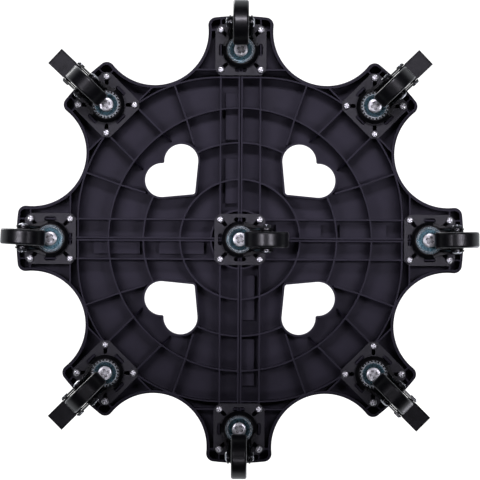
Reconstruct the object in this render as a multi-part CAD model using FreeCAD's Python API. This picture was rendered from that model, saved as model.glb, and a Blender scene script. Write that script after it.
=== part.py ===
import FreeCAD, Part
import math
import os

# Eight-lobed plastic furniture dolly on nine swivel casters, standing on its wheels.
# Millimetres, +Z up, origin on the floor under the centre of the deck.
# The casters are numbered 1 to 8 round the rim from +X towards +Y; the ninth is the centre one.

V = FreeCAD.Vector

# ---------------------------------------------------------------- deck sizes
deck_height = 28.0          # the face the casters are screwed to, up to the top of the deck
deck_radius = 254.0         # a 20 inch circle over the lobe tips
lobes = 8
scallop_radius = 61.0       # the round bay between two lobes
scallop_out = 1.4           # how far the centre of a bay lies outside the lobe tips
tip_corner = 9.0            # rounding of the lobe corners
skin = 3.0                  # thickness of the top plate
edge_round = 1.2            # rounding of the top edges
lip = 1.6                   # how far the top plate stands out past the rim wall
rim_wall = 2.2
rib = 2.0                   # thickness of every stiffening rib
seam_gap = 0.8              # between two neighbouring quarters
seam_wall = 2.1             # the wall each quarter has along a seam
ring_radii = (33.0, 68.0, 109.5, 149.0)
caster_inset = 39.3         # lobe tips to the swivel axis of a rim caster
outer_ring_inset = 31.2     # that axis to the outermost ring rib, a square ring with very round corners
outer_ring_straight = 23.0  # half the straight part of that rib across each arm
gusset_reach = 14.0         # tapered stub inside the last round ring
slant_rib = ((52.5, 107.0), (61.0, 135.3), (75.3, 175.6))
groove_radii = (60.0, 90.0, 120.0, 150.0, 180.0)
groove_width = 2.4
groove_depth = 0.6

# heart-shaped hand hole, one in each quarter
heart_lobe = (67.0, 88.7)   # centre of one lobe; the other is its mirror about the diagonal
heart_lobe_radius = 19.3
heart_point = 51.2          # both coordinates of the inner point
heart_point_round = 3.0
heart_notch_round = 2.0
heart_wall = 2.2

# tongues that slip under the neighbouring quarter
tongue_spans = ((40.8, 91.7), (113.2, 165.9))
tongue_short = 4.6          # tongue end to the rib beyond it
tongue_thick = 8.0
tongue_clear = 0.3

# lip along one seam of each quarter that laps over a step in its neighbour
lap_reach = 1.6             # past the middle of the seam
lap_thick = 1.4
lap_clear = 0.1
lap_start = 2.0             # from the centre of the deck

# ---------------------------------------------------------------- caster sizes
plate_border = 6.5          # screw axis to the edge of the plate
plate_thick = 2.5
plate_cut = 6.0             # corner cut of the mounting plate
screw_spacing = 45.0
slot_inner = 21.5           # start of a screw slot, from the swivel axis
slot_width = 4.2
side_slot_offset = 22.4
side_slot_length = 13.5
side_slot_width = 4.8
dish_depth = 3.0            # the stamped ball race in the plate
dish_radius = 16.5
dish_slope = 2.7

screw_shank = 4.0
screw_length = 20.0
screw_head = 8.2
screw_head_height = 2.6
boss_radius = 4.7
thread_clear = 0.05

ball_size = 3.2
ball_circle = 12.5
balls_per_caster = 12
race_play = 0.2             # room round the balls, up and down

crown_radius = 20.5
crown_thick = 2.5
crown_skirt = 4.2           # height of the dust skirt round the balls
crown_skirt_wall = 1.6
swivel_fit = 0.06
kingpin_radius = 5.0
kingpin_head_radius = 8.25
kingpin_head_height = 1.8
kingpin_flange_radius = 8.0
kingpin_flange_height = 1.5
washer_radius = 15.5
washer_thick = 1.55
washer_rim = 1.9            # width of its rolled rim
washer_rim_height = 0.55
washer_drop = 0.4           # fork crown to washer
lock_teeth = 24
lock_notch = 1.8

wheel_radius = 25.4
tread_width = 17.8
tread_shoulder = 2.6
core_radius = 19.0
core_spine = 1.4            # the ring on the core that keys the tyre
core_spine_width = 5.0
core_wall = 2.6
core_web = 4.0
hub_radius = 7.5
side_clear = 0.3            # hub, or brake pedal, to the fork leg beside it
hub_boss = 1.0
bond_gap = 0.05
trail = 30.0                # swivel axis to axle
crown_clear = 4.6           # tyre to the fork crown above it
axle_radius = 3.0
axle_fit = 0.06
axle_head_radius = 5.6
axle_head_height = 2.4
nut_flats = 10.0
nut_height = 3.2
nut_stub = 0.9

leg_clear = 2.1             # tyre to the inside of a fork leg
leg_thick = 2.2
leg_root_back = 1.0         # axle to the outer end of the leg's root on the crown
washer_sweep = 0.5          # washer to the fork legs that swing round it
leg_boss = 8.0

pivot_out = 7.8             # tyre to the axis of the brake pivot
pivot_angle = 50.76         # round the wheel, from level outwards
pivot_boss = 5.0
rivet_radius = 2.0
rivet_head_radius = 4.2
rivet_head_height = 1.3
rivet_fit = 0.06
pedal_barrel = 3.9
foot_half = 11.15
foot_start = 5.6            # pivot to the full width of the foot plate
foot_end = 29.0             # pivot to the end of the foot plate
foot_thick = 2.0
foot_rise = 3.4             # pivot height to the top of the foot plate
foot_flange = 1.3           # depth of the turned-down edge
foot_edge = 1.2             # its thickness
shoe_gap = 2.6              # tyre to brake shoe with the brake off
shoe_thick = 2.0
shoe_angles = (36.0, 54.0)  # round the wheel, from level outwards
cheek_clear = 0.4           # tyre to the pedal cheeks beside it
cheek_back = 17.0           # pivot to the inner end of the cheeks

# directions the nine casters are parked in, degrees from +X towards +Y
parked = (-1.0, 45.0, 90.0, 135.0, 183.0, 223.1, 270.0, 316.1, 0.0)

# ---------------------------------------------------------------- derived places
row = screw_spacing / 2
plate_half = row + plate_border
race_gap = ball_size + race_play
z_crown = 2 * wheel_radius + crown_clear
z_crown_top = z_crown + crown_thick
z_dish = z_crown_top + race_gap
z_plate = z_dish + dish_depth
z_mount = z_plate + plate_thick
z_top = z_mount + deck_height
z_skin = z_top - skin
z_washer_top = z_crown - washer_drop
z_washer = z_washer_top - washer_thick
tread_half = tread_width / 2
leg_inner = tread_half + leg_clear
leg_outer = leg_inner + leg_thick
hub_half = leg_inner - side_clear
pedal_half = leg_inner - side_clear
cheek_inner = tread_half + cheek_clear
leg_near = math.sqrt((washer_radius + washer_sweep) ** 2 - leg_inner ** 2)
leg_far = trail - leg_root_back
pivot_x = trail + (wheel_radius + pivot_out) * math.cos(math.radians(pivot_angle))
pivot_z = wheel_radius + (wheel_radius + pivot_out) * math.sin(math.radians(pivot_angle))
rim_inset = lip + rim_wall
scallop_pitch = deck_radius + scallop_out
caster_circle = deck_radius - caster_inset
outer_ring_half = caster_circle - outer_ring_inset
outer_ring_corner = outer_ring_half - outer_ring_straight
tongue_reach = row - rib / 2 - tongue_short
far = 2 * deck_radius


# ---------------------------------------------------------------- small helpers
def slab(x0, x1, y0, y1, z0, z1):
    """A box between two corners."""
    return Part.makeBox(x1 - x0, y1 - y0, z1 - z0, V(x0, y0, z0))


def post(radius, z0, z1, x=0.0, y=0.0):
    """An upright cylinder."""
    return Part.makeCylinder(radius, z1 - z0, V(x, y, z0))


def pipe(outer, inner, z0, z1, x=0.0, y=0.0):
    """An upright tube."""
    return post(outer, z0, z1, x, y).cut(post(inner, z0 - 1, z1 + 1, x, y))


def rod(radius, y0, y1, x, z):
    """A cylinder lying along Y."""
    return Part.makeCylinder(radius, y1 - y0, V(x, y0, z), V(0, 1, 0))


def turned(profile):
    """A solid turned about Z from (radius, height) points."""
    wire = Part.makePolygon([V(r, 0, z) for r, z in profile + profile[:1]])
    return Part.Face(wire).revolve(V(0, 0, 0), V(0, 0, 1), 360)


def turned_on_axle(profile):
    """A solid turned about the axle from (radius, distance from mid-plane) points."""
    solid = turned(profile)
    solid.rotate(V(0, 0, 0), V(1, 0, 0), 90)
    solid.translate(V(trail, 0, wheel_radius))
    return solid


def upright(points, z0, z1):
    """A prism between two heights from (x, y) points."""
    wire = Part.makePolygon([V(x, y, z0) for x, y in points + points[:1]])
    return Part.Face(wire).extrude(V(0, 0, z1 - z0))


def sideways(points, y0, y1):
    """A prism across the wheel from (x, z) points."""
    wire = Part.makePolygon([V(x, y0, z) for x, z in points + points[:1]])
    return Part.Face(wire).extrude(V(0, y1 - y0, 0))


def fused(shapes):
    """All the shapes as one solid without inner seams."""
    whole = shapes[0].fuse(shapes[1:]) if len(shapes) > 1 else shapes[0]
    return whole.removeSplitter()


def turned_copy(shape, degrees):
    """A copy turned about the deck centre."""
    copy = shape.copy()
    copy.rotate(V(0, 0, 0), V(0, 0, 1), degrees)
    return copy


def mirrored_pair(shape):
    """A shape and its mirror across the wheel mid-plane."""
    return [shape, shape.mirror(V(0, 0, 0), V(0, 1, 0))]


def edges_where(shape, test):
    """The edges whose middle point passes a test."""
    picked = []
    for edge in shape.Edges:
        middle = edge.valueAt((edge.FirstParameter + edge.LastParameter) / 2)
        if test(edge, middle):
            picked.append(edge)
    return picked


def is_upright(edge):
    box = edge.BoundBox
    return box.ZLength > 0.5 and box.XLength < 0.01 and box.YLength < 0.01


# ---------------------------------------------------------------- the deck
def bay_centres():
    step = 360.0 / lobes
    angles = [math.radians(step * (k + 0.5)) for k in range(lobes)]
    return [(scallop_pitch * math.cos(a), scallop_pitch * math.sin(a)) for a in angles]


def deck_prism(inset, z0, z1):
    """The whole lobed outline, drawn in by inset, between two heights."""
    prism = post(deck_radius - inset, z0, z1)
    prism = prism.cut([post(scallop_radius + inset, z0 - 1, z1 + 1, x, y) for x, y in bay_centres()])

    def is_corner(edge, p):
        on_rim = abs(math.hypot(p.x, p.y) - deck_radius + inset) < 0.05
        near = min(math.hypot(p.x - x, p.y - y) for x, y in bay_centres())
        return is_upright(edge) and on_rim and near < scallop_radius + inset + 0.05

    return prism.makeFillet(tip_corner - inset, edges_where(prism, is_corner))


def heart_prism(grow, z0, z1):
    """The hand hole, drawn out by grow, between two heights."""
    radius = heart_lobe_radius + grow
    cx, cy = heart_lobe
    tip = heart_point - grow
    reach = math.hypot(cx - tip, cy - tip)
    bearing = math.atan2(cy - tip, cx - tip) + math.asin(radius / reach)
    length = math.sqrt(reach ** 2 - radius ** 2)
    tx = tip + length * math.cos(bearing)
    ty = tip + length * math.sin(bearing)
    body = upright([(tip, tip), (ty, tx), (cy, cx), (cx, cy), (tx, ty)], z0, z1)
    heart = fused([body, post(radius, z0, z1, cx, cy), post(radius, z0, z1, cy, cx)])
    point = edges_where(heart, lambda e, p: is_upright(e) and abs(p.x - tip) + abs(p.y - tip) < 0.1)
    heart = heart.makeFillet(heart_point_round + grow, point)
    beyond = sum(heart_lobe) / 2

    def is_notch(edge, p):
        return is_upright(edge) and abs(p.x - p.y) < 0.05 and p.x > beyond

    return heart.makeFillet(max(heart_notch_round - grow, 0.3), edges_where(heart, is_notch))


def straight_rib(p, q, thick, z0, z1):
    """A rib on the line from p to q."""
    length = math.hypot(q[0] - p[0], q[1] - p[1])
    wall = slab(0, length, -thick / 2, thick / 2, z0, z1)
    wall.rotate(V(0, 0, 0), V(0, 0, 1), math.degrees(math.atan2(q[1] - p[1], q[0] - p[0])))
    wall.translate(V(p[0], p[1], 0))
    return wall


def outer_ring():
    """The outermost ring rib: straight across each arm, round between them."""
    half = outer_ring_half
    middle = outer_ring_straight
    z0, z1 = z_mount, z_skin
    corner = pipe(outer_ring_corner + rib / 2, outer_ring_corner - rib / 2, z0, z1, middle, middle)
    corner = corner.common(slab(middle, far, middle, far, z0, z1))
    across = [
        straight_rib((0, half), (middle, half), rib, z0, z1),
        straight_rib((half, 0), (half, middle), rib, z0, z1),
    ]
    return [corner] + across


def inside_outer_ring():
    """The space of one quarter that the outermost ring rib encloses."""
    half = outer_ring_half
    middle = outer_ring_straight
    z0, z1 = z_mount, z_skin
    blocks = [slab(0, half, 0, middle, z0, z1), slab(0, middle, 0, half, z0, z1)]
    corner = post(outer_ring_corner, z0, z1, middle, middle).common(slab(0, far, 0, far, z0, z1))
    return fused(blocks + [corner])


def slanted_ribs():
    """The bent ribs from the hand hole out to the outermost ring rib, and their mirrors."""
    inner, bend, outer = slant_rib
    stretch = far / math.hypot(outer[0] - bend[0], outer[1] - bend[1])
    end = (bend[0] + stretch * (outer[0] - bend[0]), bend[1] + stretch * (outer[1] - bend[1]))
    walls = []
    for start, stop in ((inner, bend), (bend, end)):
        walls.append(straight_rib(start, stop, rib, z_mount, z_skin))
        walls.append(straight_rib(start[::-1], stop[::-1], rib, z_mount, z_skin))
    return [wall.common(inside_outer_ring()) for wall in walls]


def diagonal_gusset(side):
    """The tapered stub of a diagonal rib, inside the last round ring."""
    start = math.sqrt(ring_radii[-1] ** 2 - row ** 2)
    points = [(start, z_mount), (start, z_skin), (start - gusset_reach, z_skin)]
    gusset = sideways(points, side * row - rib / 2, side * row + rib / 2)
    gusset.rotate(V(0, 0, 0), V(0, 0, 1), 45)
    return gusset


def quarter_ribs():
    """Every rib of one quarter before it is trimmed to the outline."""
    z0, z1 = z_mount, z_skin
    walls = [pipe(r + rib / 2, r - rib / 2, z0, z1) for r in ring_radii]
    walls += outer_ring()
    edge = seam_gap / 2 + seam_wall
    walls.append(slab(0, edge, 0, far, z0, z1))
    walls.append(slab(0, far, 0, edge, z0, z1))
    walls.append(straight_rib((row, row), (row, far), rib, z0, z1))
    walls.append(straight_rib((row, row), (far, row), rib, z0, z1))
    walls += slanted_ribs()
    # the screw rows under each caster: two along the lobe and two across it
    for heading in (0, 45, 90):
        lobe = []
        for place in (caster_circle - row, caster_circle + row):
            lobe.append(straight_rib((place, -2 * plate_half), (place, 2 * plate_half), rib, z0, z1))
        if heading == 45:
            ring = math.sqrt(ring_radii[-1] ** 2 - row ** 2)
            for side in (-1, 1):
                lobe.append(straight_rib((ring, side * row), (far, side * row), rib, z0, z1))
        walls += [turned_copy(wall, heading) for wall in lobe]
    walls += [diagonal_gusset(-1), diagonal_gusset(1)]
    return walls


def screw_places():
    """Every screw of the deck as (x, y), with the four of the centre caster last."""
    places = []
    for k in range(lobes):
        a = math.radians(360.0 / lobes * k)
        for dx in (-row, row):
            for dy in (-row, row):
                x = caster_circle + dx
                places.append((x * math.cos(a) - dy * math.sin(a), x * math.sin(a) + dy * math.cos(a)))
    places += [(dx, dy) for dx in (-row, row) for dy in (-row, row)]
    return places


def deck_quarter():
    """The quarter of the deck in +X +Y, with its two tongues and its lap on the +X seam."""
    z0, z1 = z_mount, z_skin
    quadrant = slab(seam_gap / 2, far, seam_gap / 2, far, 0, far)

    top = deck_prism(0, z1, z_top).common(quadrant).cut(heart_prism(0, z1 - 1, z_top + 1))
    away = seam_gap / 2 + 0.05

    def is_top_edge(edge, p):
        return edge.BoundBox.ZLength < 0.01 and abs(p.z - z_top) < 0.01 and min(p.x, p.y) > away

    top = top.makeFillet(edge_round, edges_where(top, is_top_edge))
    z_lap = z_top - lap_thick
    lap = slab(lap_start, far, -lap_reach, seam_gap, z_lap, z_top)
    lap = lap.common(deck_prism(edge_round, z_lap, z_top))
    step = slab(0, lap_reach + lap_clear, lap_start - lap_clear, far, z_lap - lap_clear, z_top + 1)
    top = fused([top, lap]).cut(step)
    half = groove_width / 2
    grooves = [pipe(r + half, r - half, z_top - groove_depth, z_top + 1) for r in groove_radii]
    grooves = [g.cut(heart_prism(heart_wall * 2, z1, z_top + 2)) for g in grooves]
    top = top.cut(grooves)

    rim = deck_prism(lip, z0, z1).cut(deck_prism(rim_inset, z0 - 1, z1 + 1)).common(quadrant)
    trim = deck_prism(lip + rim_wall / 2, z0, z1).common(quadrant)
    ribs = fused(quarter_ribs()).common(trim).cut(heart_prism(heart_wall / 2, z0 - 1, z1 + 1))
    heart_rim = heart_prism(heart_wall, z0, z1).cut(heart_prism(0, z0 - 1, z1 + 1))
    own = [(x, y) for x, y in screw_places() if x > 0 and y > 0]
    bosses = [post(boss_radius, z0, z1, x, y) for x, y in own]

    neighbour = []
    tongues = []
    z_tongue = z1 - tongue_clear
    inner = seam_gap / 2 + seam_wall
    for start, end in tongue_spans:
        clear = tongue_clear
        neighbour.append(slab(0, tongue_reach + clear, start - clear, end + clear,
                              z_tongue - tongue_thick - clear, z1))
        tongues.append(slab(start, end, -tongue_reach, inner, z_tongue - tongue_thick, z_tongue))
    frame = fused([rim, ribs, heart_rim] + bosses).cut(neighbour)
    quarter = fused([top, frame] + tongues)
    pilot = screw_shank / 2 + thread_clear
    holes = [post(pilot, z0 - 1, z0 + screw_length, x, y) for x, y in own]
    return quarter.cut(holes)


# ---------------------------------------------------------------- fixed caster pieces
def mounting_plate():
    """Square stamped plate with a ball dish, screw slots and side slots."""
    half = plate_half
    cut = plate_cut
    corners = [(half, cut - half), (half, half - cut), (half - cut, half), (cut - half, half),
               (-half, half - cut), (-half, cut - half), (cut - half, -half), (half - cut, -half)]
    sheet = upright(corners, z_plate, z_mount)
    softened = edges_where(sheet, lambda e, p: is_upright(e))
    sheet = sheet.makeFillet(2.0, softened)
    sheet = sheet.cut(post(dish_radius + 0.1, z_plate - 1, z_mount + 1))
    wall = plate_thick
    bore = kingpin_radius + 0.02
    dish = turned([(bore, z_dish), (dish_radius, z_dish), (dish_radius + dish_slope, z_plate),
                   (dish_radius + dish_slope, z_plate + 0.4), (dish_radius + 0.1, z_mount),
                   (dish_radius - dish_slope, z_dish + wall), (bore, z_dish + wall)])
    plate = fused([sheet, dish])
    reach = row * math.sqrt(2)
    below, above = z_plate - 1, z_mount + 1
    cuts = []
    for k in range(4):
        side = slot_width / 2
        run = slab(slot_inner + side, reach, -side, side, below, above)
        ends = [post(side, below, above, x, 0) for x in (slot_inner + side, reach)]
        cuts.append(turned_copy(fused([run] + ends), 45 + 90 * k))
        side = side_slot_width / 2
        straight = side_slot_length / 2 - side
        run = slab(side_slot_offset - side, side_slot_offset + side, -straight, straight, below, above)
        ends = [post(side, below, above, side_slot_offset, y) for y in (-straight, straight)]
        cuts.append(turned_copy(fused([run] + ends), 90 * k))
    return plate.cut(cuts)


def cross_recess(size, z, depth):
    """The cross a driver turns, cut upwards into a head whose face is at z."""
    arm = size * 0.16
    half = size / 2
    along = slab(-half, half, -arm, arm, z - 1, z + depth)
    across = slab(-arm, arm, -half, half, z - 1, z + depth)
    return fused([along, across])


def screw():
    """Pan-head screw standing under the plate at the origin."""
    shank = post(screw_shank / 2, z_plate - 0.01, z_mount + screw_length - 2)
    r = screw_head / 2
    z = z_plate - 0.01
    h = screw_head_height
    head = turned([(0, z), (r, z), (r, z - 0.9), (r - 0.5, z - 1.7), (r - 1.4, z - h + 0.3), (0, z - h)])
    return fused([head, shank]).cut(cross_recess(r * 1.15, z - h, 1.4))


def kingpin():
    """Riveted pin: a flange in the plate's dish, a shank and a domed head under the washer."""
    floor = z_dish + plate_thick + 0.02
    head = z_washer - 0.02
    r = kingpin_head_radius
    h = kingpin_head_height
    flange = post(kingpin_flange_radius, floor, floor + kingpin_flange_height)
    shank = post(kingpin_radius, head - 0.5, floor + 0.5)
    dome = turned([(0, head), (r, head), (r, head - 0.6), (r - 0.7, head - h * 0.75), (r - 2.4, head - h),
                   (0, head - h)])
    return fused([flange, shank, dome]).cut(cross_recess(r * 1.1, head - h, 1.1))


def swivel_washer():
    """Flat washer with a rolled rim, under the fork crown."""
    bore = kingpin_radius + 0.03
    edge = washer_radius
    low = z_washer - washer_rim_height
    return turned([(bore, z_washer), (edge - washer_rim - 0.5, z_washer), (edge - washer_rim, low),
                   (edge - 0.5, low), (edge, z_washer), (edge, z_washer_top), (bore, z_washer_top)])


def swivel_lock_ring():
    """The washer of a braked caster, with notches that stop the fork from swivelling."""
    cuts = []
    for k in range(lock_teeth):
        notch = slab(washer_radius - washer_rim, washer_radius + 1, -lock_notch / 2, lock_notch / 2,
                     z_washer - 2, z_washer_top + 1)
        cuts.append(turned_copy(notch, 360.0 / lock_teeth * (k + 0.5)))
    return swivel_washer().cut(cuts)


def bearing_balls():
    """The ring of balls between the plate's dish and the fork crown."""
    balls = []
    for k in range(balls_per_caster):
        a = math.radians(360.0 / balls_per_caster * k)
        spot = V(ball_circle * math.cos(a), ball_circle * math.sin(a), (z_dish + z_crown_top) / 2)
        balls.append(Part.makeSphere(ball_size / 2, spot))
    return balls


# ---------------------------------------------------------------- swivelling caster pieces
def fork(braked):
    """Stamped fork: dished crown with a dust skirt and two legs down to the axle."""
    bore = kingpin_radius + swivel_fit
    r = crown_radius
    wall = crown_skirt_wall
    brim = z_crown_top + crown_skirt
    crown = turned([(bore, z_crown), (r - 4.0, z_crown), (r, z_crown + crown_thick), (r, brim),
                    (r - wall, brim), (r - wall, z_crown_top + 0.9), (r - wall - 2.6, z_crown_top),
                    (bore, z_crown_top)])
    near, out = leg_near, leg_far
    saddle = slab(near, out, -leg_inner - 0.5, leg_inner + 0.5, z_crown, z_crown_top)
    for side in (-1, 1):
        outline = [(4.0, side * 15.0), (4.0, side * (r - 0.9)),
                   (out, side * leg_outer), (out, side * leg_inner)]
        saddle = saddle.fuse(upright(outline, z_crown + 0.6, z_crown_top))
    if braked:
        px, pz = pivot_x, pivot_z
        outline = [(near, z_crown_top), (out, z_crown_top), (px + 2.0, pz + pivot_boss * 0.917),
                   (px + pivot_boss * 0.61, pz - pivot_boss * 0.793),
                   (trail + leg_boss * 0.61, wheel_radius - leg_boss * 0.793),
                   (trail - leg_boss * 0.98, wheel_radius - 1.5)]
        legs = [sideways(outline, leg_inner, leg_outer), rod(pivot_boss, leg_inner, leg_outer, px, pz)]
    else:
        outline = [(near, z_crown_top), (out, z_crown_top), (trail + leg_boss * 0.98, wheel_radius + 1.6),
                   (trail - leg_boss * 0.98, wheel_radius - 1.5)]
        legs = [sideways(outline, leg_inner, leg_outer)]
    legs.append(rod(leg_boss, leg_inner, leg_outer, trail, wheel_radius))
    leg = fused(legs)
    body = fused([crown, saddle] + mirrored_pair(leg))
    # the washer turns past the legs, so the crown stays flat above it
    body = body.cut(pipe(washer_radius + washer_drop, bore, z_washer - 2, z_crown))
    holes = [rod(axle_radius + 0.02, -far, far, trail, wheel_radius)]
    if braked:
        holes.append(rod(rivet_radius + 0.02, -far, far, px, pz))
    return body.cut(holes)


def axle_bolt():
    """Domed bolt through the legs and the hub."""
    face = leg_outer + 0.01
    head = turned_on_axle([(0, -face), (axle_head_radius, -face), (axle_head_radius, -face - 0.7),
                           (axle_head_radius - 1.0, -face - 1.6), (2.6, -face - axle_head_height),
                           (0, -face - axle_head_height)])
    tail = face + nut_height + nut_stub
    shank = rod(axle_radius, -tail, face + 0.5, trail, wheel_radius)
    return fused([head, shank])


def axle_nut():
    """Hexagon nut on the other end of the axle bolt."""
    face = leg_outer + 0.01
    r = nut_flats / math.sqrt(3)
    corners = [math.radians(60 * k + 30) for k in range(6)]
    nut = upright([(r * math.cos(a), r * math.sin(a)) for a in corners], 0, nut_height)
    dome = turned([(0, -1), (nut_flats / 2 + 0.9, -1), (nut_flats / 2 + 0.9, nut_height - 0.9),
                   (nut_flats / 2 - 0.3, nut_height), (0, nut_height)])
    nut = nut.common(dome).cut(post(axle_radius + 0.02, -1, nut_height + 1))
    nut.rotate(V(0, 0, 0), V(1, 0, 0), 90)
    nut.translate(V(trail, -face, wheel_radius))
    return nut


def pedal_rivet():
    """Rivet through both legs, the pin of the brake pedal."""
    px, pz = pivot_x, pivot_z
    face = leg_outer + 0.01
    h = rivet_head_height
    heads = mirrored_pair(rod(rivet_head_radius, face, face + h, px, pz))
    softened = []
    for head in heads:
        outer = edges_where(head, lambda e, p: abs(abs(p.y) - face - h) < 0.01 and e.BoundBox.YLength < 0.01)
        softened.append(head.makeFillet(0.6, outer))
    return fused(softened + [rod(rivet_radius, -face - 0.5, face + 0.5, px, pz)])


def brake_pedal():
    """Foot plate, brake shoe and cheeks on a barrel that turns on the rivet."""
    px, pz = pivot_x, pivot_z
    half = pedal_half
    top = pz + foot_rise
    barrel = rod(pedal_barrel, -half, half, px, pz)
    start, end = px + foot_start, px + foot_end
    edge = foot_half - foot_edge
    hem = top - foot_thick - foot_flange
    neck = slab(px, start + 1.0, -half, half, top - foot_thick, top)
    foot = slab(start, end, -foot_half, foot_half, hem, top)
    hollow = slab(start - 1, end - foot_edge, -edge, edge, hem - 1, top - foot_thick)
    foot = foot.cut(hollow)
    inner = wheel_radius + shoe_gap
    ring = rod(inner + shoe_thick, -half, half, trail, wheel_radius)
    ring = ring.cut(rod(inner, -far, far, trail, wheel_radius))
    low, high = [math.radians(a) for a in shoe_angles]
    reach = 60.0
    wedge = sideways([(trail, wheel_radius),
                      (trail + reach * math.cos(low), wheel_radius + reach * math.sin(low)),
                      (trail + reach * math.cos(high), wheel_radius + reach * math.sin(high))], -half, half)
    shoe = ring.common(wedge)
    mid = inner + shoe_thick / 2
    back = px - cheek_back
    cheek = sideways([(px - 1.0, pz + 3.2), (px + 1.5, pz - 2.0),
                      (trail + mid * math.cos(low), wheel_radius + mid * math.sin(low)),
                      (back, pz - 7.0), (back, pz - 4.0)], cheek_inner, half)
    body = fused([barrel, neck, foot, shoe] + mirrored_pair(cheek))
    return body.cut(rod(rivet_radius + rivet_fit, -far, far, px, pz))


# ---------------------------------------------------------------- rolling caster pieces
def tyre():
    """Solid tyre with round shoulders, keyed on the core's spine."""
    half = tread_half
    s = tread_shoulder
    inner = core_radius + bond_gap
    spine = core_radius + core_spine + bond_gap
    key = core_spine_width / 2 + bond_gap
    section = [(inner, -half), (wheel_radius - s, -half)]
    for k in range(1, 6):
        a = math.radians(90.0 * k / 6)
        section.append((wheel_radius - s + s * math.sin(a), -half + s - s * math.cos(a)))
    section.append((wheel_radius, -half + s))
    section += [(r, -y) for r, y in reversed(section)]
    section += [(inner, key), (spine, key), (spine, -key), (inner, -key)]
    return turned_on_axle(section)


def wheel_core():
    """Moulded core: hub, web and rim with a spine that holds the tyre."""
    half = tread_half
    rim = core_radius - core_wall
    web = core_web / 2
    key = core_spine_width / 2
    bore = axle_radius + axle_fit
    nose = hub_half - hub_boss
    side = [(bore, hub_half), (hub_radius - 1.0, hub_half), (hub_radius, nose),
            (hub_radius + 0.6, web + 1.0), (hub_radius + 2.0, web), (rim - 1.2, web),
            (rim, web + 1.2), (rim, half - 0.4), (core_radius, half - 0.4),
            (core_radius, key), (core_radius + core_spine, key)]
    return turned_on_axle(side + [(r, -y) for r, y in reversed(side)])


# ---------------------------------------------------------------- assembly
def caster_places():
    """(number, x, y, heading of the lobe, parked direction, braked) for each caster."""
    rows = []
    for k in range(lobes):
        heading = 360.0 / lobes * k
        a = math.radians(heading)
        x = caster_circle * math.cos(a)
        y = caster_circle * math.sin(a)
        rows.append((str(k + 1), x, y, heading, parked[k], k % 2 == 1))
    rows.append(("centre", 0.0, 0.0, 0.0, parked[lobes], False))
    return rows


def placed(shape, x, y, degrees):
    copy = turned_copy(shape, degrees)
    copy.translate(V(x, y, 0))
    return copy


def save(node, shapes):
    shape = shapes[0] if len(shapes) == 1 else Part.makeCompound(shapes)
    shape.exportStep(os.path.join("parts", node + ".step"))


os.makedirs("parts", exist_ok=True)

quarter = deck_quarter()
for k in range(4):
    save("deck_quarter_" + str(k + 1), [turned_copy(quarter, 90 * k)])

plate = mounting_plate()
pin = kingpin()
forks = {False: fork(False), True: fork(True)}
hardware = {False: [axle_bolt(), axle_nut()], True: [axle_bolt(), axle_nut(), pedal_rivet()]}
pedal = brake_pedal()
tread = tyre()
core = wheel_core()
balls = bearing_balls()
washer = {False: swivel_washer(), True: swivel_lock_ring()}

pins, washers, rings, all_balls = [], [], [], []
for number, x, y, heading, direction, braked in caster_places():
    save("mounting_plate_" + number, [placed(plate, x, y, heading)])
    save("fork_" + number, [placed(forks[braked], x, y, direction)])
    save("axle_set_" + number, [placed(piece, x, y, direction) for piece in hardware[braked]])
    save("tyre_" + number, [placed(tread, x, y, direction)])
    save("wheel_core_" + number, [placed(core, x, y, direction)])
    if braked:
        save("brake_pedal_" + number, [placed(pedal, x, y, direction)])
    pins.append(placed(pin, x, y, heading + 30))
    (rings if braked else washers).append(placed(washer[braked], x, y, heading))
    all_balls += [placed(ball, x, y, heading) for ball in balls]

save("kingpins", pins)
save("swivel_washers", washers)
save("swivel_lock_rings", rings)
save("bearing_balls", all_balls)
save("deck_screws", [placed(screw(), x, y, 17.0 * i) for i, (x, y) in enumerate(screw_places())])
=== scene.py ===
import math

import bmesh
import bpy
from mathutils import Matrix, Vector

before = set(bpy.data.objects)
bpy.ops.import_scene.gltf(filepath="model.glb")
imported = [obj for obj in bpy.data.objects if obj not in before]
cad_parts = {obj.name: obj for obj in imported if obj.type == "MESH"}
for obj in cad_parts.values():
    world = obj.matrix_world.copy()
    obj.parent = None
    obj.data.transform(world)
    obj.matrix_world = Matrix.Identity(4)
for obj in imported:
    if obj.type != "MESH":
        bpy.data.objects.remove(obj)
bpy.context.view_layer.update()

# %% [markdown]
# # A nine-wheeled furniture dolly, seen from underneath
# The shapes come from the imported CAD model: four moulded deck quarters and nine swivel casters.
# This notebook gives every piece the finish that a maker would give it, then sets up a floor, lamps and
# a camera.

# %% [markdown]
# ## Sort the pieces by what they are made of
# A dolly is bought in as a few kinds of stock: moulded plastic, black coated pressings, zinc plated hardware
# and wheels. Each node is named after its piece, so the start of the name is enough to know its kind.
# Sorting by name keeps the rest of the notebook free of long lists.

# %% Group the nodes by kind
def pieces_called(*starts):
    return [piece for name, piece in sorted(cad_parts.items()) if name.startswith(starts)]


deck_quarters = pieces_called("deck_quarter")
caster_plates = pieces_called("mounting_plate")
forks = pieces_called("fork")
pedals = pieces_called("brake_pedal")
tyres = pieces_called("tyre")
wheel_cores = pieces_called("wheel_core")
axles = pieces_called("axle_set")
screws = pieces_called("deck_screws")
kingpins = pieces_called("kingpins")
washers = pieces_called("swivel_washers", "swivel_lock_rings")
balls = pieces_called("bearing_balls")
kinds = [
    deck_quarters, caster_plates, forks, pedals, tyres, wheel_cores,
    axles, screws, kingpins, washers, balls,
]
print("kinds:", [len(kind) for kind in kinds], "covering", sum(len(kind) for kind in kinds), "nodes")

# %% [markdown]
# ## Small tools for building a finish
# Every finish here is a Principled shader with patterns made from noise, because real surfaces are never
# one flat tone. Object coordinates are in metres and stay with the piece, so a pattern keeps its true size
# and turns with its caster.
# A number that is the same all over goes straight on the shader's own socket.

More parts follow.
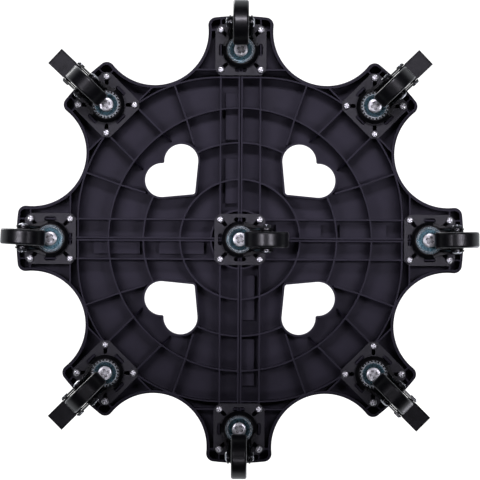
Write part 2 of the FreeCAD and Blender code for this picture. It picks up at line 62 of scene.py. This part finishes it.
# %% Start a finish
def start_finish(name, **everywhere):
    finish = bpy.data.materials.new(name)
    finish.use_nodes = True
    shader = finish.node_tree.nodes["Principled BSDF"]
    for socket, value in everywhere.items():
        shader.inputs[socket.replace("_", " ")].default_value = value
    return finish, shader


def add_node(finish, kind, **settings):
    node = finish.node_tree.nodes.new("ShaderNode" + kind)
    for setting, value in settings.items():
        setattr(node, setting, value)
    return node


def join(finish, source, target):
    finish.node_tree.links.new(source, target)


print("tools ready: start_finish, add_node, join")

# %% [markdown]
# Grain is a noise pattern, given here by the real size of its specks in millimetres.
# A stretched grain has long specks in one direction, as a drawn or rolled surface has.

# %% Grain and tone
def grain(finish, speck_mm, detail=3.0, stretch=(1, 1, 1), roughness=0.5):
    place = add_node(finish, "TexCoord")
    scaled = add_node(finish, "Mapping")
    scaled.inputs["Scale"].default_value = stretch
    noise = add_node(finish, "TexNoise")
    noise.inputs["Scale"].default_value = 1000 / speck_mm
    noise.inputs["Detail"].default_value = detail
    noise.inputs["Roughness"].default_value = roughness
    join(finish, place.outputs["Object"], scaled.inputs["Vector"])
    join(finish, scaled.outputs["Vector"], noise.inputs["Vector"])
    return noise.outputs["Fac"]


def between(finish, amount, low, high, start=0.3, end=0.7):
    """Carries a pattern from one number to another over the part of it between start and end."""
    spread = add_node(finish, "MapRange")
    spread.inputs["From Min"].default_value = start
    spread.inputs["From Max"].default_value = end
    spread.inputs["To Min"].default_value = low
    spread.inputs["To Max"].default_value = high
    join(finish, amount, spread.inputs["Value"])
    return spread.outputs["Result"]


def tint(finish, amount, low, high):
    """Blends one colour into another as the amount goes from 0 to 1. Either may be a node's output."""
    blend = add_node(finish, "Mix", data_type="RGBA")
    join(finish, amount, blend.inputs["Factor"])
    for socket, colour in ((blend.inputs[6], low), (blend.inputs[7], high)):
        if isinstance(colour, tuple):
            socket.default_value = (*colour, 1)
        else:
            join(finish, colour, socket)
    return blend.outputs[2]


print("tools ready: grain, between, tint")

# %% [markdown]
# Real edges are never knife sharp, and handling rubs them first.
# The Bevel node gives the normal of a slightly rounded edge without touching the mesh.
# How far that normal leans from the true one also says how near an edge is, which is the mask for
# rubbed edges, and for the painted highlight rim of the washers.

# %% Rounded and rubbed edges
def soft_edges(finish, radius_mm, samples=4):
    """The rounded normal, and a mask that is 0 on flats and 1 at edges."""
    rounded = add_node(finish, "Bevel", samples=samples)
    rounded.inputs["Radius"].default_value = radius_mm / 1000
    true = add_node(finish, "NewGeometry")
    lean = add_node(finish, "VectorMath", operation="DOT_PRODUCT")
    join(finish, rounded.outputs["Normal"], lean.inputs[0])
    join(finish, true.outputs["Normal"], lean.inputs[1])
    return rounded.outputs["Normal"], between(finish, lean.outputs["Value"], 1, 0, 0.72, 0.985)


def emboss(finish, pattern, depth_mm, normal=None, strength=1.0):
    bump = add_node(finish, "Bump")
    bump.inputs["Distance"].default_value = depth_mm / 1000
    bump.inputs["Strength"].default_value = strength
    join(finish, pattern, bump.inputs["Height"])
    if normal is not None:
        join(finish, normal, bump.inputs["Normal"])
    return bump.outputs["Normal"]


def product(finish, a, b):
    times = add_node(finish, "Math", operation="MULTIPLY")
    join(finish, a, times.inputs[0])
    join(finish, b, times.inputs[1])
    return times.outputs["Value"]


def coat(pieces, finish):
    """Gives every slot of these pieces this finish."""
    for piece in pieces:
        piece.data.materials.clear()
        piece.data.materials.append(finish)
    print(finish.name, "on", len(pieces), "nodes")


print("tools ready: soft_edges, emboss, product, coat")

# %% [markdown]
# ## Moulded deck plastic
# The four quarters are injection moulded in black polypropylene, which looks blue-grey where light grazes it.
# The mould steel is spark eroded, so the skin carries a fine even grain with broad, faint flow clouds under
# it. Rib edges catch light and are rubbed a little greyer. Three noises at three sizes give all of that.

# %% Deck plastic
cloud_dark, cloud_pale = (0.026, 0.0228, 0.038), (0.036, 0.0318, 0.052)
speck_pale, rubbed_grey = (0.043, 0.0385, 0.056), (0.052, 0.050, 0.062)
deck_plastic, shader = start_finish("moulded_deck_plastic", IOR=1.49, Specular_IOR_Level=0.25)
edge_normal, edges = soft_edges(deck_plastic, 0.6)
clouds = grain(deck_plastic, 28, detail=4)
mottle = grain(deck_plastic, 3.5, detail=5)
spark = grain(deck_plastic, 0.55, detail=2)
flow_tone = tint(deck_plastic, between(deck_plastic, clouds, 0, 1), cloud_dark, cloud_pale)
speck_tone = tint(deck_plastic, between(deck_plastic, mottle, 0, 0.35), flow_tone, speck_pale)
rubbed = product(deck_plastic, edges, between(deck_plastic, mottle, 0.35, 0.9))
join(deck_plastic, tint(deck_plastic, rubbed, speck_tone, rubbed_grey), shader.inputs["Base Color"])
join(deck_plastic, between(deck_plastic, mottle, 0.40, 0.56), shader.inputs["Roughness"])
join(deck_plastic, emboss(deck_plastic, spark, 0.05, edge_normal, 0.55), shader.inputs["Normal"])
coat(deck_quarters, deck_plastic)

# %% [markdown]
# ## Black coated caster plates
# The plates and forks are pressed from sheet steel and electro-coated black.
# The coating on the plates is thicker and leaves a fine orange-peel grain with pale specks.
# The same recipe with other numbers makes the smoother, darker coating of the forks.

# %% Plate and fork coatings
def black_coating(name, dark, pale, peel_mm, peel_depth_mm, rough, edge_tone):
    finish, shader = start_finish(name, IOR=1.5, Specular_IOR_Level=0.5)
    edge_normal, edges = soft_edges(finish, 0.45)
    peel = grain(finish, peel_mm, detail=2)
    dust = grain(finish, 0.35, detail=1)
    patches = grain(finish, 9, detail=4)
    base = tint(finish, between(finish, patches, 0, 1), dark, pale)
    specked = tint(finish, between(finish, dust, 0, 0.6, 0.58, 0.75), base, edge_tone)
    rubbed = product(finish, edges, between(finish, patches, 0.15, 0.85, 0.35, 0.6))
    join(finish, tint(finish, rubbed, specked, edge_tone), shader.inputs["Base Color"])
    join(finish, between(finish, patches, rough - 0.06, rough + 0.08), shader.inputs["Roughness"])
    join(finish, emboss(finish, peel, peel_depth_mm, edge_normal, 0.7), shader.inputs["Normal"])
    return finish


plate_coating = black_coating(
    "coated_caster_plate", dark=(0.017, 0.016, 0.023), pale=(0.024, 0.0225, 0.032),
    peel_mm=0.9, peel_depth_mm=0.05, rough=0.40, edge_tone=(0.050, 0.048, 0.060),
)
fork_coating = black_coating(
    "coated_fork", dark=(0.0035, 0.0035, 0.0045), pale=(0.006, 0.006, 0.0075),
    peel_mm=1.6, peel_depth_mm=0.02, rough=0.30, edge_tone=(0.022, 0.022, 0.025),
)
coat(caster_plates, plate_coating)
coat(forks, fork_coating)

# %% [markdown]
# ## Brake pedals
# The pedal is a pressed lever with a slate black coating. The soles that step on it rub its edges pale.
# It gets the same coating recipe, a little bluer and greyer, with a much paler tone at its edges.

# %% Pedal coating
pedal_coating = black_coating(
    "coated_brake_pedal", dark=(0.005, 0.005, 0.008), pale=(0.009, 0.009, 0.014),
    peel_mm=1.2, peel_depth_mm=0.03, rough=0.36, edge_tone=(0.10, 0.10, 0.11),
)
coat(pedals, pedal_coating)

# %% [markdown]
# ## Zinc plated hardware
# Screws, kingpins, axle bolts and washers are barrel plated with zinc, a slightly cloudy metal with fine
# tumbling marks. A metal's colour is its reflection, so the base colour stays close to one tone and roughness
# carries the pattern. Short-range ambient occlusion paints shade into the recesses, darkening them.
# The washers are blue passivated, with a wide pale rim painted on as a highlight: a dull near-white edge tone
# that is not metallic.

# %% Zinc plating
def zinc(name, tone, cloudy, rough, painted_recess_shade, recess_mm, edge_tone, edge_mm=0.25, edge_metal=1.0):
    finish, shader = start_finish(name, Metallic=1.0)
    edge_normal, edges = soft_edges(finish, edge_mm)
    cloud = grain(finish, 2.2, detail=4)
    marks = grain(finish, 0.5, detail=2, stretch=(1, 1, 0.3))
    plated = tint(finish, between(finish, cloud, 0, 1), tone, cloudy)
    # Painted shade: ambient occlusion darkens recesses, such as the cross in a kingpin head, towards the
    # painted recess shade tone.
    nook = add_node(finish, "AmbientOcclusion", samples=6, only_local=True)
    nook.inputs["Distance"].default_value = recess_mm / 1000
    open_air = between(finish, nook.outputs["AO"], 0, 1, 0.45, 0.92)
    # The edge tone is polished wear on screws, kingpins and axle bolts, and a painted highlight rim on the
    # washers.
    edge_polish_and_highlight = tint(finish, edges, plated, edge_tone)
    join(finish, tint(finish, open_air, painted_recess_shade, edge_polish_and_highlight), shader.inputs["Base Color"])
    burnished = add_node(finish, "Math", operation="MAXIMUM")
    join(finish, between(finish, cloud, rough - 0.05, rough + 0.10), burnished.inputs[0])
    join(finish, between(finish, edges, 0, 0.55, 0.2, 0.8), burnished.inputs[1])
    join(finish, burnished.outputs["Value"], shader.inputs["Roughness"])
    if edge_metal < 1:
        join(finish, between(finish, edges, 1, edge_metal, 0.1, 0.6), shader.inputs["Metallic"])
    join(finish, emboss(finish, marks, 0.02, edge_normal, 0.5), shader.inputs["Normal"])
    return finish


screw_zinc = zinc(
    "zinc_screw", tone=(0.86, 0.86, 0.87), cloudy=(0.74, 0.74, 0.76), rough=0.40,
    painted_recess_shade=(0.07, 0.07, 0.075), recess_mm=1.2, edge_tone=(0.92, 0.92, 0.93),
)
kingpin_zinc = zinc(
    "zinc_kingpin", tone=(0.70, 0.70, 0.71), cloudy=(0.50, 0.50, 0.51), rough=0.36,
    painted_recess_shade=(0.02, 0.018, 0.02), recess_mm=3.0, edge_tone=(0.95, 0.95, 0.95),
)
# Painted highlight: a near-white, non-metallic edge tone over a 3 mm edge gives each washer its bright rim.
washer_zinc = zinc(
    "blue_zinc_washer", tone=(0.066, 0.112, 0.128), cloudy=(0.044, 0.082, 0.098), rough=0.24,
    painted_recess_shade=(0.02, 0.025, 0.03), recess_mm=0.3, edge_tone=(0.96, 0.97, 0.98), edge_mm=3.0, edge_metal=0.0,
)
axle_zinc = zinc(
    "zinc_axle", tone=(0.40, 0.41, 0.43), cloudy=(0.28, 0.29, 0.31), rough=0.28,
    painted_recess_shade=(0.05, 0.05, 0.055), recess_mm=1.0, edge_tone=(0.85, 0.86, 0.88),
)
coat(screws, screw_zinc)
coat(kingpins, kingpin_zinc)
coat(washers, washer_zinc)
coat(axles, axle_zinc)

# %% [markdown]
# ## Bearing balls
# The balls between plate and fork are hardened and polished, with a film of grease that dulls them in
# patches. They are small and half hidden, so a polished metal with a patchy oily roughness is enough.

# %% Bearing balls
ball_steel, shader = start_finish("greased_ball", Metallic=1.0)
film = grain(ball_steel, 1.4, detail=3)
join(ball_steel, tint(ball_steel, film, (0.66, 0.66, 0.68), (0.42, 0.40, 0.36)), shader.inputs["Base Color"])
join(ball_steel, between(ball_steel, film, 0.12, 0.34), shader.inputs["Roughness"])
coat(balls, ball_steel)

# %% [markdown]
# ## Wheels
# The tread is smooth black elastomer with a soft shine. Rolling leaves it dull and slightly dusty, with fine
# scuffs. The core is harder satin plastic. Both start near black, so roughness does most of the work.

# %% Tread and core
def wheel_plastic(name, dark, dusty, rough_low, rough_high, scuff_mm, coat_weight):
    finish, shader = start_finish(
        name, IOR=1.5, Coat_Weight=coat_weight, Coat_Roughness=0.2, Sheen_Weight=0.25, Sheen_Roughness=0.25
    )
    edge_normal, edges = soft_edges(finish, 0.5)
    haze = grain(finish, 7, detail=4)
    scuffs = grain(finish, scuff_mm)
    worn = between(finish, scuffs, 0, 0.7, 0.5, 0.72)
    dulled = tint(finish, between(finish, haze, 0, 0.6), dark, dusty)
    join(finish, tint(finish, worn, dulled, dusty), shader.inputs["Base Color"])
    join(finish, between(finish, scuffs, rough_low, rough_high), shader.inputs["Roughness"])
    join(finish, emboss(finish, scuffs, 0.02, edge_normal, 0.5), shader.inputs["Normal"])
    return finish


tread = wheel_plastic(
    "wheel_tread", dark=(0.004, 0.0043, 0.006), dusty=(0.012, 0.012, 0.014),
    rough_low=0.30, rough_high=0.44, scuff_mm=1.1, coat_weight=0.15,
)
core = wheel_plastic(
    "wheel_core", dark=(0.006, 0.006, 0.007), dusty=(0.014, 0.014, 0.015),
    rough_low=0.32, rough_high=0.46, scuff_mm=0.8, coat_weight=0.0,
)
coat(tyres, tread)
coat(wheel_cores, core)

# %% [markdown]
# ## Floor
# The dolly stands on a plain pale studio floor. The camera looks up from under it, so the sheet has to be
# one-sided: solid from above, clear from below. The Geometry node's Backfacing output tells the sides apart.
# The sheet fades out with distance, so that no horizon line cuts the pale background.

# %% Lay the floor
def floor_sheet(half):
    sheet = bmesh.new()
    bmesh.ops.create_grid(sheet, x_segments=8, y_segments=8, size=half)
    mesh = bpy.data.meshes.new("studio_floor")
    sheet.to_mesh(mesh)
    sheet.free()
    return bpy.data.objects.new("studio_floor", mesh)


floor_half = 6.0
fade_from, fade_to = 1.6, 5.0
floor = floor_sheet(floor_half)
bpy.context.scene.collection.objects.link(floor)
floor.visible_shadow = False
floor.visible_diffuse = False
floor.visible_glossy = False
paint = bpy.data.materials.new("studio_floor_paint")
paint.use_nodes = True
paint.node_tree.nodes.clear()
matt = add_node(paint, "BsdfDiffuse")
clear = add_node(paint, "BsdfTransparent")
which_side = add_node(paint, "NewGeometry")
one_sided = add_node(paint, "MixShader")
surface = add_node(paint, "OutputMaterial")
away = add_node(paint, "VectorMath", operation="LENGTH")
join(paint, add_node(paint, "TexCoord").outputs["Object"], away.inputs[0])
fade = between(paint, away.outputs["Value"], 0, 1, fade_from, fade_to)
hidden = add_node(paint, "Math", operation="MAXIMUM")
join(paint, fade, hidden.inputs[0])
join(paint, which_side.outputs["Backfacing"], hidden.inputs[1])
join(paint, tint(paint, grain(paint, 60), (0.80, 0.80, 0.80), (0.84, 0.84, 0.84)), matt.inputs["Color"])
join(paint, hidden.outputs["Value"], one_sided.inputs["Fac"])
join(paint, matt.outputs["BSDF"], one_sided.inputs[1])
join(paint, clear.outputs["BSDF"], one_sided.inputs[2])
join(paint, one_sided.outputs["Shader"], surface.inputs["Surface"])
floor.data.materials.append(paint)
print("floor sheet", round(floor.dimensions.x, 1), "m wide")

# %% [markdown]
# ## Background and lamps
# The background is white to the eye, but a black object in a white room would turn grey all over.
# Light Path splits the two jobs: the camera sees white, and everything else is lit by a sky of its own.
# That sky is dark from below and bright from the horizon up, so flat faces stay black and edges catch a
# thin light.

# %% Background
world = bpy.data.worlds.new("pale_studio")
bpy.context.scene.world = world
world.use_nodes = True
sky = world.node_tree.nodes
sky.clear()
seen, light = sky.new("ShaderNodeBackground"), sky.new("ShaderNodeBackground")
seen.inputs["Color"].default_value = (1, 1, 1, 1)
light.inputs["Color"].default_value = (0.93, 0.96, 1, 1)
path, either = sky.new("ShaderNodeLightPath"), sky.new("ShaderNodeMixShader")
out = sky.new("ShaderNodeOutputWorld")
compass, height = sky.new("ShaderNodeTexCoord"), sky.new("ShaderNodeSeparateXYZ")
glow = sky.new("ShaderNodeMapRange")
dark_below, bright_above = -0.10, 0.05
dark_strength, bright_strength = 0.004, 0.80
glow.inputs["From Min"].default_value = dark_below
glow.inputs["From Max"].default_value = bright_above
glow.inputs["To Min"].default_value = dark_strength
glow.inputs["To Max"].default_value = bright_strength
for source, target in (
    (compass.outputs["Generated"], height.inputs["Vector"]),
    (height.outputs["Z"], glow.inputs["Value"]),
    (glow.outputs["Result"], light.inputs["Strength"]),
    (path.outputs["Is Camera Ray"], either.inputs["Fac"]),
    (light.outputs[0], either.inputs[1]),
    (seen.outputs[0], either.inputs[2]),
    (either.outputs[0], out.inputs["Surface"]),
):
    world.node_tree.links.new(source, target)
print("background set")

# %% [markdown]
# Four strip lamps stand round the dolly below floor level, each with a narrow beam aimed at its own side.
# The light comes from outside, so each rib shades the cell on its inner side, which makes the moulding
# readable.
# The strip on the +Y side is weak, so the dolly darkens towards it.
# Two more hang above, for the top of the deck. None of them shows to the camera.

# %% Hang the lamps
def soft_box(name, place, aim, width, height, watts, tone=(1, 1, 1), beam_degrees=180):
    lamp = bpy.data.lights.new(name, "AREA")
    lamp.shape = "RECTANGLE"
    lamp.size, lamp.size_y, lamp.energy, lamp.color = width, height, watts, tone
    lamp.spread = math.radians(beam_degrees)
    box = bpy.data.objects.new(name, lamp)
    bpy.context.scene.collection.objects.link(box)
    box.location = place
    box.rotation_mode = "QUATERNION"
    box.rotation_quaternion = (Vector(place) - Vector(aim)).to_track_quat("Z", "Y")
    box.visible_camera = False
    return box


cool = (0.93, 0.90, 1.0)
strip_out, strip_down, strip_long, strip_short = 0.50, -0.80, 0.6, 0.12
aim_out, aim_up, beam = 0.18, 0.07, 38
for name, place, aim, width, height, watts in (
    ("lamp_far_side", (0, -strip_out), (0, -aim_out), strip_long, strip_short, 0.31),
    ("lamp_left", (-strip_out, -0.06), (-aim_out, 0), strip_short, strip_long, 0.235),
    ("lamp_right", (strip_out, -0.06), (aim_out, 0), strip_short, strip_long, 0.22),
    ("lamp_near_side", (0, strip_out), (0, aim_out), strip_long, strip_short, 0.06),
):
    soft_box(name, (*place, strip_down), (*aim, aim_up), width, height, watts, cool, beam)
deck_middle = (0, 0, 0.08)
soft_box("lamp_above_key", (-1.1, -1.2, 1.7), deck_middle, 1.4, 1.0, 18)
soft_box("lamp_above_fill", (1.5, 0.9, 1.2), deck_middle, 1.2, 1.2, 8, cool)

# %% [markdown]
# ## Camera
# The camera looks straight up at the underside from eight metres, with a very long lens, so there is hardly
# any perspective. Its up direction is -Y. A small roll matches the way the dolly sits a little askew.

# %% Set the camera
eye = bpy.data.cameras.new("underside_camera")
lens_mm = 529.8
roll_degrees = 0.3
eye.sensor_width = 36
eye.lens = lens_mm
eye.clip_start, eye.clip_end = 0.05, 60
camera = bpy.data.objects.new("underside_camera", eye)
bpy.context.scene.collection.objects.link(camera)
roll = math.radians(roll_degrees)
right = Vector((math.cos(roll), -math.sin(roll), 0))
up = Vector((-math.sin(roll), -math.cos(roll), 0))
back = right.cross(up)
stand = Vector((0.0001, 0.0006, -7.935))
camera.matrix_world = Matrix.Translation(stand) @ Matrix((right, up, back)).transposed().to_4x4()
bpy.context.scene.camera = camera
bpy.context.scene.view_settings.view_transform = "Standard"
bpy.context.scene.view_settings.look = "Medium High Contrast"
print("camera at", [round(x, 3) for x in camera.location], "looking along", [round(-x, 3) for x in back])
